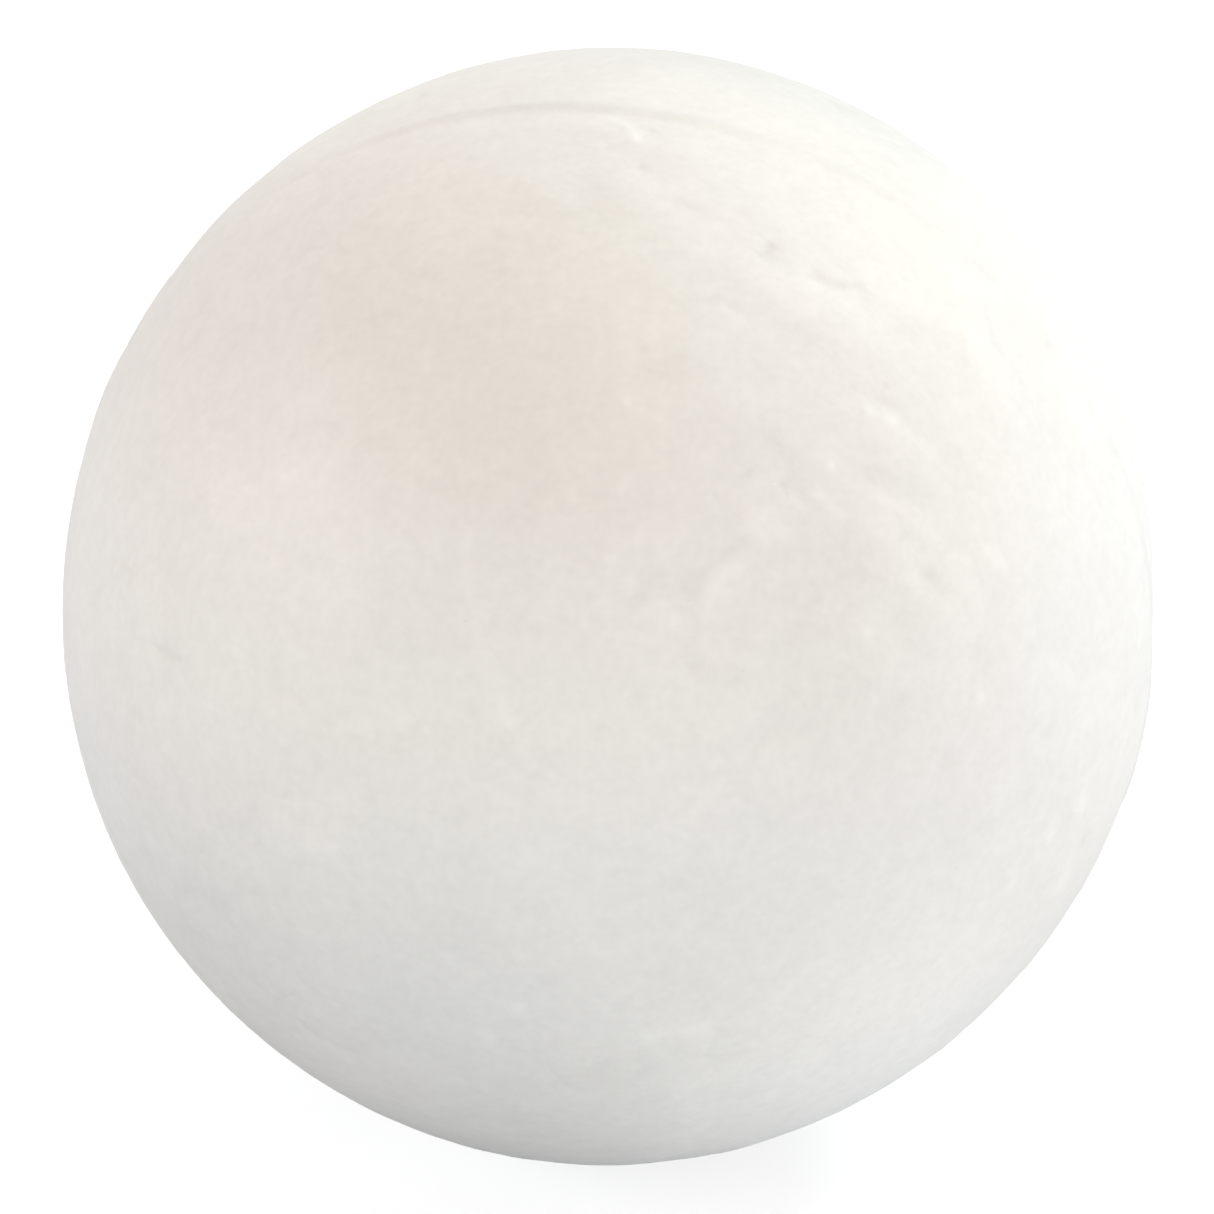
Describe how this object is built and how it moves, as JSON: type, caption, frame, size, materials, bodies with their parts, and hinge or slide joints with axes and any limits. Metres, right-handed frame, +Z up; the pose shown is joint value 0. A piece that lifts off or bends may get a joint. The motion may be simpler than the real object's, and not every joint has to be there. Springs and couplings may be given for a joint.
{
  "type": "polystyrene ball",
  "caption": "Moulded white polystyrene foam ball with a bead-cell skin and a fine mould seam round its middle, for crafts, held on a stick or hung from a pin.",
  "frame": {"origin": "middle of the ball", "axes": "+Z up, +Y along the closing direction of the mould, so the seam lies in the XZ plane"},
  "size_m": [0.0591, 0.0609, 0.0602],
  "materials": {
    "white_foam": "matt to satin white, fused bead skin"
  },
  "bodies": {
    "root": {"foam_ball": "white_foam"}
  },
  "joints": []
}
